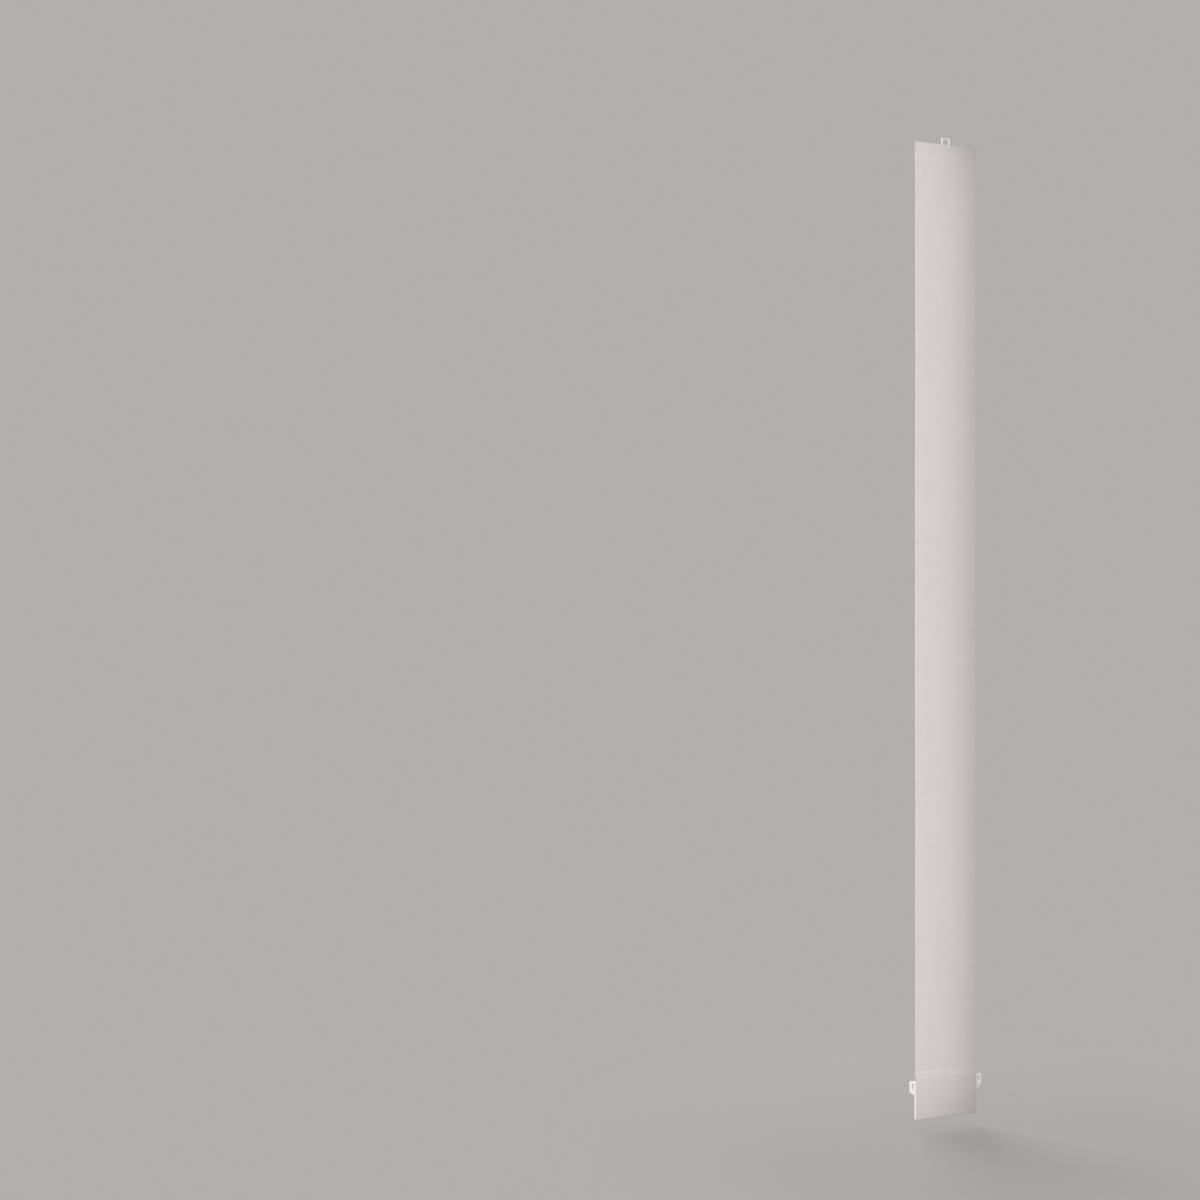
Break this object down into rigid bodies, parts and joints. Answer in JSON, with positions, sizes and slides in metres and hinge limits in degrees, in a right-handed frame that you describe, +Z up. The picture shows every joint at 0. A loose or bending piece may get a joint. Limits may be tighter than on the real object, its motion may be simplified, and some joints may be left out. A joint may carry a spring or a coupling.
{
  "type": "vertical blind vane",
  "caption": "Long flat fabric slat with a pocket at each end: a looped plastic hanger in the top one and a slotted-ear plastic weight in the bottom one.",
  "frame": {"origin": "hook seat: the underside of the hanger loop's top bar, at mid width, where the carrier's hook bears", "axes": "+Z up along the vane's drop, +X along its width, -Y towards the room; the sheet hangs in the plane y = 0"},
  "size_m": [0.1054, 0.0034, 1.2385],
  "materials": {
    "slat_fabric": "matt plain weave, pale warm grey",
    "hanger_plastic": "satin white moulding",
    "weight_plastic": "satin white moulding"
  },
  "bodies": {
    "root": {"fabric_slat": "slat_fabric", "hanger": "hanger_plastic", "bottom_weight": "weight_plastic"}
  },
  "joints": []
}
